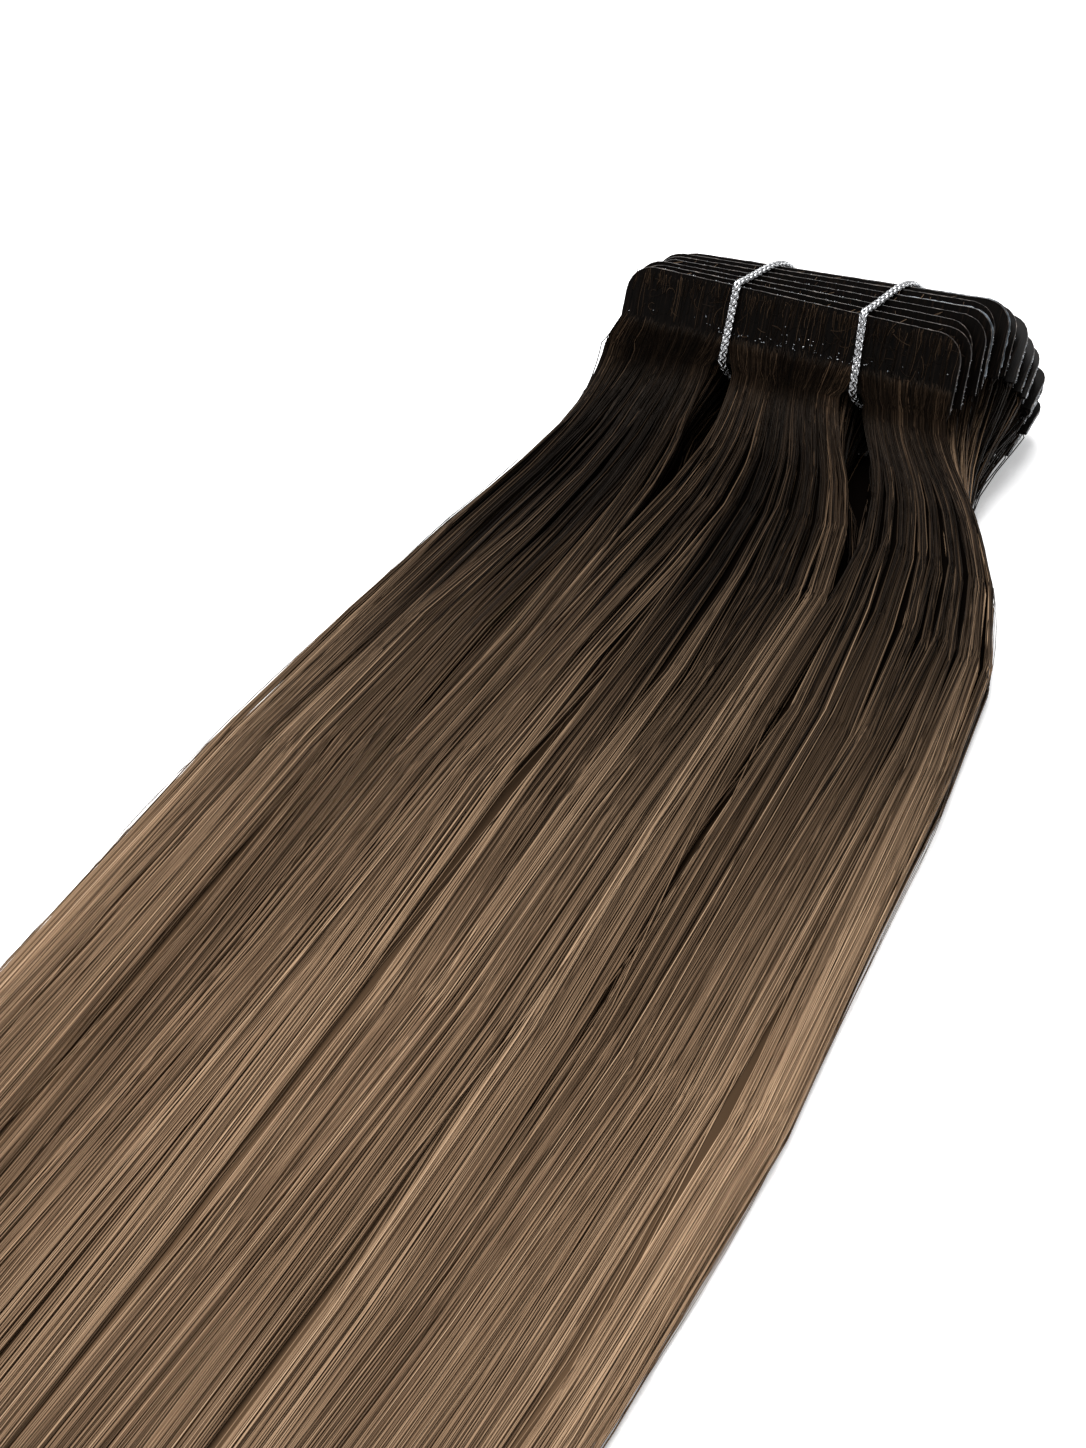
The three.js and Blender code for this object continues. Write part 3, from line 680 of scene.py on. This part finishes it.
def cord_route(upper, lower):
    """A cord's centre line: on the tabs its flat side lies against them, whichever way they slipped."""
    clear = CORD_RADIUS * CORD_FLAT + CORD_GAP
    behind = TAB_THICKNESS + FILM_BACK

    def spot(tab, down, out):
        sideways = (upper + (lower - upper) * np.clip(down / TAB_HEIGHT, 0, 1)) * TAB_WIDTH - tab["slip"]
        return tab["top"] + tab["across"] * sideways + tab["down"] * down + tab["face"] * out

    corner = clear * CORD_CORNER
    under = TAB_HEIGHT + clear * CORD_UNDER
    points = [spot(front, under, -TAB_THICKNESS / 2)]
    points += [spot(front, TAB_HEIGHT * share, clear) for share in CORD_FRONT]
    points += [spot(front, -corner, corner)]
    points += [spot(tab, -clear, -TAB_THICKNESS / 2) for tab in tabs[1:-1]]
    points += [spot(last, -corner, -behind - corner)]
    points += [spot(last, TAB_HEIGHT * share, -behind - clear) for share in CORD_BACK]
    points += [spot(last, under, -behind + TAB_THICKNESS / 2)]
    return closed_curve(np.array(points), CORD_STEPS)


# The grain group gives every other material of the pack its mottling: a noise on Object coordinates,
# with its cycles in each metre along the three axes.
grain_group, given, result = group_with_sockets(
    "grain", (("Cycles", "NodeSocketVector"), ("Detail", "NodeSocketFloat")), "Mask", "NodeSocketFloat")
place = grain_group.nodes.new("ShaderNodeTexCoord")
scaled = grain_group.nodes.new("ShaderNodeVectorMath")
scaled.operation = "MULTIPLY"
noise = grain_group.nodes.new("ShaderNodeTexNoise")
noise.inputs["Scale"].default_value = 1
grain_group.links.new(place.outputs["Object"], scaled.inputs[0])
grain_group.links.new(given.outputs["Cycles"], scaled.inputs[1])
grain_group.links.new(scaled.outputs["Vector"], noise.inputs["Vector"])
grain_group.links.new(given.outputs["Detail"], noise.inputs["Detail"])
grain_group.links.new(noise.outputs["Fac"], result.inputs["Mask"])


def grained_material(name, cycles, detail, shades, roughness):
    """A material coloured by a ramp over the grain group. Gives the material, its shader and the mask."""
    material = plain_material(name, shades[0][1], roughness)
    nodes, links = material.node_tree.nodes, material.node_tree.links
    grain = nodes.new("ShaderNodeGroup")
    grain.node_tree = grain_group
    grain.inputs["Cycles"].default_value = np.broadcast_to(cycles, 3).tolist()
    grain.inputs["Detail"].default_value = detail
    colour = ramp(nodes, shades)
    links.new(grain.outputs["Mask"], colour.inputs["Fac"])
    shader = nodes["Principled BSDF"]
    links.new(colour.outputs["Color"], shader.inputs["Base Color"])
    return material, shader, grain.outputs["Mask"]


def closed_tubes(name, centres, widths, outs, material):
    """Closed loops of four-sided thread: each ring's corners lie half a width along widths and half a
    depth along outs from the centre, and the last ring joins the first."""
    loops, steps = centres.shape[:2]
    corners = np.stack([centres + widths, centres + outs, centres - widths, centres - outs], 2)
    grid = np.arange(loops * steps * 4).reshape(loops, steps, 4)
    ahead, beside = np.roll(grid, -1, axis=1), np.roll(grid, -1, axis=2)
    faces = np.stack([grid, ahead, np.roll(ahead, -1, axis=2), beside], -1).reshape(-1, 4)
    mesh = bpy.data.meshes.new(name)
    mesh.from_pydata(corners.reshape(-1, 3).tolist(), [], faces.tolist())
    mesh.polygons.foreach_set("use_smooth", np.ones(len(faces), bool))
    mesh.materials.append(material)
    piece = bpy.data.objects.new(name, mesh)
    scene.collection.objects.link(piece)
    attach(piece, "root")
    return piece


# Each thread winds round the cord with its own way and start, and rises and dips where it crosses the
# threads of the other way.
silver, silver_shader, _ = grained_material("silver cord", CORD_GRAIN, 2, CORD_SHADES, CORD_ROUGHNESS)
silver_shader.inputs["Metallic"].default_value = 1.0
for name, (upper, lower) in CORDS.items():
    route, length = cord_route(upper, lower)
    ahead = np.roll(route, -1, axis=0) - np.roll(route, 1, axis=0)
    ahead /= np.linalg.norm(ahead, axis=1, keepdims=True)
    sideways = np.array([1.0, 0, 0]) - ahead * ahead[:, :1]
    sideways /= np.linalg.norm(sideways, axis=1, keepdims=True)
    outward = np.cross(ahead, sideways)
    squeeze = np.eye(3) - (1 - CORD_FLAT) * outward[:, :, None] * outward[:, None, :]
    pitches = round(length / THREAD_PITCH)
    turn = np.arange(CORD_STEPS) / CORD_STEPS * pitches * 2 * np.pi
    centres, widths, outs = [], [], []
    for way in (1, -1):
        for thread in range(THREADS):
            angle = way * turn + thread / THREADS * 2 * np.pi
            over = CORD_RADIUS - THREAD_DEPTH - BRAID_HEIGHT + way * BRAID_HEIGHT * np.cos(THREADS * turn)
            radial = np.cos(angle)[:, None] * sideways + np.sin(angle)[:, None] * outward
            around = -np.sin(angle)[:, None] * sideways + np.cos(angle)[:, None] * outward
            lay = np.cross(radial, ahead + way * around * THREAD_LEAN) * THREAD_WIDTH
            centres.append(route + np.einsum("nij,nj->ni", squeeze, radial * over[:, None]))
            widths.append(np.einsum("nij,nj->ni", squeeze, lay))
            outs.append(radial * THREAD_DEPTH)
    piece = closed_tubes(f"cord_{name}_braid", np.array(centres), np.array(widths), np.array(outs), silver)
    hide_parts(f"cord_{name}")


# Loose single hairs along both sides of the bundle: each leaves it for a stretch and bows outwards, and
# some don't come back. LOOSE_SIDES: a side of the bundle, its number of hairs and how far they bow.
LOOSE_SIDES = ((0.0, 90, 0.85 * MM), (1.0, 30, 0.6 * MM))
LOOSE_RADIUS = 0.035 * MM
LOOSE_STEPS = 20
LOOSE_BEGIN_MM = (8, 90)
LOOSE_RUN_MM = (50, 150)
LOOSE_ENDS = 0.4
LOOSE_TONES = (0.0, 0.6)

draw = np.random.default_rng(7)
loose_lines = []
for edge, count, bow in LOOSE_SIDES:
    begin = draw.uniform(*LOOSE_BEGIN_MM, count)[:, None] * MM
    run = draw.uniform(*LOOSE_RUN_MM, count)[:, None] * MM
    t = np.linspace(0, 1, LOOSE_STEPS)[None, :]
    inner = np.abs(edge - draw.uniform(0.0, 0.05, count))[:, None] + 0 * t
    line = flow(np.clip(inner, 0.003, 0.997), draw.uniform(0.0, 0.5, count)[:, None] + 0 * t, begin + run * t)
    free = draw.random(count)[:, None] < LOOSE_ENDS
    shape = np.where(free, t ** 2, np.sin(np.pi * t) ** 1.3)
    line[:, :, 0] += (2 * edge - 1) * np.abs(draw.normal(0, 1, count))[:, None].clip(0.1, 2.2) * bow * shape
    line[:, :, 2] = np.maximum(line[:, :, 2] * (1 - 0.4 * shape), LOOSE_RADIUS)
    loose_lines.append(line)
loose_lines = np.concatenate(loose_lines)
loose_share = np.abs(loose_lines[:, :, 1] - front["top"][1]) / HAIR_LENGTH
loose_tone = draw.uniform(*LOOSE_TONES, len(loose_share))[:, None]
loose_hairs = tube_mesh("loose_hairs", loose_lines, np.full(loose_share.shape, LOOSE_RADIUS), 3,
                        {"share": loose_share, "tone": loose_tone}, strand_material)


# The rims of the tabs: the cut edge of each tab, where the skin and the ends of the bonded hair show
# as a thin light line, rough and of uneven thickness, round its upper corners. Its light parts are partly
# a painted highlight, the light caught along the edge.
RIM_RADIUS = 0.045 * MM
RIM_STEPS = 72
RIM_ROUGH_DOWN = 0.012 * MM
RIM_ROUGH_OUT = 0.01 * MM
RIM_UNEVEN = 0.25
RIM_DOWN = 0.97
TAB_CORNER = 3 * MM
RIM_GRAIN = 1400
RIM_HAIR_AND_HIGHLIGHT_SHADES = ((0.38, (0.006, 0.005, 0.0045)), (0.52, (0.03, 0.023, 0.019)), (0.72, (0.17, 0.14, 0.12)))
RIM_ROUGHNESS = 0.35

corner_turn = np.linspace(0, np.pi / 2, 9)
corner_x = TAB_WIDTH / 2 - TAB_CORNER * (1 - np.cos(corner_turn))
corner_down = TAB_CORNER * (1 - np.sin(corner_turn))
outline_x = np.concatenate([[TAB_WIDTH / 2], corner_x, -corner_x[::-1], [-TAB_WIDTH / 2]])
outline_end = [TAB_HEIGHT * RIM_DOWN]
outline_down = np.concatenate([outline_end, corner_down, corner_down[::-1], outline_end])
outline_length = np.concatenate([[0], np.cumsum(np.hypot(np.diff(outline_x), np.diff(outline_down)))])


def on_outline(low, high, count):
    """Sideways and down places at equal steps round a tab's edge, from its right end to its left one."""
    place = np.linspace(low, high, count) * outline_length[-1]
    return np.interp(place, outline_length, outline_x), np.interp(place, outline_length, outline_down)


def on_tab(tab, sideways, down, out):
    """A place on a tab: sideways from its middle, down from its upper edge and out of its face."""
    return (tab["top"] + np.multiply.outer(sideways, tab["across"]) + np.multiply.outer(down, tab["down"])
            + np.multiply.outer(out, tab["face"]))


rim_x, rim_down = on_outline(0, 1, RIM_STEPS)
rim_lines = np.stack([on_tab(tab, rim_x, rim_down + draw.normal(0, RIM_ROUGH_DOWN, RIM_STEPS),
                             draw.normal(0, RIM_ROUGH_OUT, RIM_STEPS)) for tab in tabs])
rim_radii = RIM_RADIUS * np.clip(1 + draw.normal(0, RIM_UNEVEN, (TAB_COUNT, RIM_STEPS)), 0.4, 1.6)
rim_material, _, _ = grained_material("tab rim", RIM_GRAIN, 3, RIM_HAIR_AND_HIGHLIGHT_SHADES, RIM_ROUGHNESS)
rims = tube_mesh("tab_rims", rim_lines, rim_radii, 4, {}, rim_material,
                 level=np.stack([tab["face"] for tab in tabs])[:, None, :])


# Bonded hairs: the ends of hair that show in the bond of the front tab, straight down it and in loose
# curls, and the short ends that bridge from one tab's upper edge to the next. Three quarters of the
# straight ones stop short, and the rest reach the lower edge of the bond.
BONDED = 320
BONDED_SHORT = 0.75
BONDED_SHORT_MM = (1.2, 3.2)
BONDED_RADIUS = 0.032 * MM
BONDED_STEPS = 9
BONDED_LIFT = 0.012 * MM
BONDED_BOW = 0.09 * MM
BONDED_LEVEL = np.array([[[0.13, 0.91, 0.39]]])
CURLED = 120
CURLED_LIFT = 0.02 * MM
BRIDGES = 6
BRIDGE_LIFT = 0.03 * MM
BRIDGE_BACK = 0.1 * MM
BRIDGES_IN_ALL = BRIDGES * (TAB_COUNT - 1)

t = np.linspace(0, 1, BONDED_STEPS)[None, :]
begin = draw.uniform(0.05, 0.9, BONDED)[:, None] * MM
finish = np.where(draw.random(BONDED) < BONDED_SHORT, draw.uniform(*BONDED_SHORT_MM, BONDED),
                  BAND_HEIGHT / MM + draw.normal(0, 0.4, BONDED))[:, None] * MM
bonded_x = draw.uniform(-0.49, 0.49, BONDED)[:, None] * TAB_WIDTH
curve = t * draw.uniform(2, 7, BONDED)[:, None] + draw.uniform(0, 6, BONDED)[:, None]
bonded_x = bonded_x + np.sin(curve) * BONDED_BOW
straight = on_tab(front, bonded_x, begin + (finish - begin) * t, np.full(bonded_x.shape, BONDED_LIFT))
turn = draw.uniform(0, 2 * np.pi, CURLED)[:, None] + draw.normal(0, 2.2, CURLED)[:, None] * t
step = draw.uniform(0.12, 0.32, CURLED)[:, None] * MM
curl_x = draw.uniform(-0.44, 0.46, CURLED)[:, None] * TAB_WIDTH + np.cumsum(np.cos(turn), 1) * step
curl_down = np.clip(draw.uniform(1.2, 5.2, CURLED)[:, None] * MM + np.cumsum(np.sin(turn), 1) * step,
                    0.2 * MM, BAND_HEIGHT + 0.4 * MM)
curls = on_tab(front, curl_x, curl_down, np.full(curl_x.shape, CURLED_LIFT))
bridges = []
for tab, behind in zip(tabs[:-1], tabs[1:]):
    place = draw.uniform(-0.42, 0.42, BRIDGES) * TAB_WIDTH
    lean = place + draw.normal(0, 0.12, BRIDGES) * MM
    start, end = (on_tab(side, x, np.full(BRIDGES, -BRIDGE_LIFT), np.full(BRIDGES, -BRIDGE_BACK))
                  for side, x in ((tab, place), (behind, lean)))
    part = draw.uniform(0.4, 0.8, BRIDGES)[:, None, None] * t[:, :, None]
    bridges.append(start[:, None] * (1 - part) + end[:, None] * part)
bonded = np.concatenate([straight, curls] + bridges)
bonded_share = np.concatenate([np.full(BONDED + CURLED, 0.02), np.full(BRIDGES_IN_ALL, 0.06)])[:, None]
bonded_tone = np.concatenate([draw.uniform(0.3, 0.92, BONDED), draw.uniform(0.0, 0.9, CURLED),
                              draw.uniform(0.6, 1.0, BRIDGES_IN_ALL)])[:, None]
bonded_hairs = tube_mesh("bonded_hairs", bonded, np.full(bonded.shape[:2], BONDED_RADIUS), 3,
                         {"share": bonded_share, "tone": bonded_tone}, strand_material, level=BONDED_LEVEL)


# Beads of adhesive: two long ones squeezed out round the right corners of two tabs, thick in the middle
# of the tab's end and thin at the top.
BEAD_TABS = (4, 6)
BEAD_SPAN = (0.02, 0.36)
BEAD_RADIUS = 0.14 * MM
BEAD_STEPS = 40
BEAD_OUT = 0.05 * MM
BEAD_LIFT = 0.02 * MM
BEAD_BACK = 0.25 * MM
BEAD_GRAIN = 700
BEAD_SHADES = ((0.4, (0.03, 0.038, 0.045)), (0.65, (0.16, 0.19, 0.22)))
BEAD_ROUGHNESS = 0.12

bead_x, bead_down = on_outline(*BEAD_SPAN, BEAD_STEPS)
bead_lines = np.stack([on_tab(tabs[number], bead_x + BEAD_OUT, bead_down - BEAD_LIFT,
                              np.full(BEAD_STEPS, -BEAD_BACK)) for number in BEAD_TABS])
bead_radii = BEAD_RADIUS * np.clip(1 + draw.normal(0, 0.3, (len(BEAD_TABS), BEAD_STEPS)), 0.3, 1.8)
bead_radii *= np.sin(np.linspace(0.08, 1, BEAD_STEPS) * np.pi / 2)[None, ::-1] ** 0.5
bead_material, _, _ = grained_material("grey adhesive", BEAD_GRAIN, 2, BEAD_SHADES, BEAD_ROUGHNESS)
beads = tube_mesh("adhesive_beads", bead_lines, bead_radii, 6, {}, bead_material,
                  level=np.stack([tabs[number]["face"] for number in BEAD_TABS])[:, None, :])


# Specks of adhesive: tiny glossy drops of eight faces, along the lower edge of the bond, on the upper
# edges and down the right ends of the tabs, where the tabs further back have more of them. Their pale
# grey to near-white colour is a painted glint on the clear adhesive.
BELT_SPECKS = 80
EDGE_SPECKS = 26
END_SPECKS = (14, 60)
FIRST_BACK_TAB = 9
SPECK_RADIUS = 0.07 * MM
BELT_LIFT = 0.03 * MM
EDGE_LIFT = 0.04 * MM
END_OUT = 0.02 * MM
SPECK_GRAIN = 900
SPECK_GLINT_SHADES = ((0.4, (0.25, 0.28, 0.31)), (0.65, (0.85, 0.88, 0.92)))
SPECK_ROUGHNESS = 0.1

belt_x = draw.normal(0.02, 0.16, BELT_SPECKS).clip(-0.48, 0.48) * TAB_WIDTH
belt_down = BAND_HEIGHT - np.abs(draw.normal(0, 0.9, BELT_SPECKS)) * MM
specks = [on_tab(front, belt_x, belt_down, np.full(BELT_SPECKS, BELT_LIFT))]
for number, tab in enumerate(tabs):
    specks.append(on_tab(tab, draw.normal(-0.08, 0.16, EDGE_SPECKS).clip(-0.4, 0.4) * TAB_WIDTH,
                         np.full(EDGE_SPECKS, -EDGE_LIFT), -draw.uniform(0, 1, EDGE_SPECKS) * TAB_THICKNESS))
    ends = END_SPECKS[number >= FIRST_BACK_TAB]
    specks.append(on_tab(tab, np.full(ends, TAB_WIDTH / 2 + END_OUT),
                         draw.uniform(0.35, 0.98, ends) * TAB_HEIGHT,
                         -draw.uniform(0, 1.4, ends) * TAB_THICKNESS))
specks = np.concatenate(specks)
drop = np.array([(1, 0, 0), (0, 1, 0), (-1, 0, 0), (0, -1, 0), (0, 0, 1), (0, 0, -1)], float)
drop_faces = np.array([(0, 1, 4), (1, 2, 4), (2, 3, 4), (3, 0, 4),
                       (1, 0, 5), (2, 1, 5), (3, 2, 5), (0, 3, 5)])
sizes = SPECK_RADIUS * draw.uniform(0.35, 1.0, (len(specks), 1, 1))
sizes = sizes * draw.uniform(0.7, 1.3, (len(specks), 1, 3))
speck_points = specks[:, None, :] + drop[None] * sizes
speck_faces = (np.arange(len(specks)) * 6)[:, None, None] + drop_faces[None]
speck_mesh = bpy.data.meshes.new("adhesive_specks")
speck_mesh.from_pydata(speck_points.reshape(-1, 3).tolist(), [], speck_faces.reshape(-1, 3).tolist())
speck_mesh.materials.append(grained_material("adhesive", SPECK_GRAIN, 2, SPECK_GLINT_SHADES, SPECK_ROUGHNESS)[0])
speck_piece = bpy.data.objects.new("adhesive_specks", speck_mesh)
scene.collection.objects.link(speck_piece)
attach(speck_piece, "root")


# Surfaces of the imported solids: the tabs' dark skin, half matt, with the bonded hair as fine ridges from
# its upper to its lower edge, and the clear glossy film over the adhesive behind each of them.
SKIN_GRAIN = (5200, 260, 260)
SKIN_SHADES = ((0.35, (0.001, 0.0008, 0.0007)), (0.6, (0.003, 0.0021, 0.0016)), (0.8, (0.02, 0.012, 0.008)))
SKIN_ROUGHNESS = 0.36
SKIN_SHINE = 0.05
RIDGE_HEIGHT = 0.04 * MM
RIDGE_STRENGTH = 0.6
FILM_GRAIN = 300
FILM_SHADES = ((0.4, (0.03, 0.036, 0.042)), (0.65, (0.1, 0.118, 0.135)))
FILM_ROUGHNESS = 0.1

tab_skin, skin_shader, skin_mask = grained_material("tab skin", SKIN_GRAIN, 4, SKIN_SHADES, SKIN_ROUGHNESS)
skin_shader.inputs["Specular IOR Level"].default_value = SKIN_SHINE
ridges = tab_skin.node_tree.nodes.new("ShaderNodeBump")
ridges.inputs["Strength"].default_value = RIDGE_STRENGTH
ridges.inputs["Distance"].default_value = RIDGE_HEIGHT
tab_skin.node_tree.links.new(skin_mask, ridges.inputs["Height"])
tab_skin.node_tree.links.new(ridges.outputs["Normal"], skin_shader.inputs["Normal"])
film_skin, _, _ = grained_material("release film", FILM_GRAIN, 2, FILM_SHADES, FILM_ROUGHNESS)
for number in range(1, TAB_COUNT + 1):
    for node, skin in ((f"tape_{number:02d}", tab_skin), (f"film_{number:02d}", film_skin)):
        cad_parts[node].data.materials.clear()
        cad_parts[node].data.materials.append(skin)
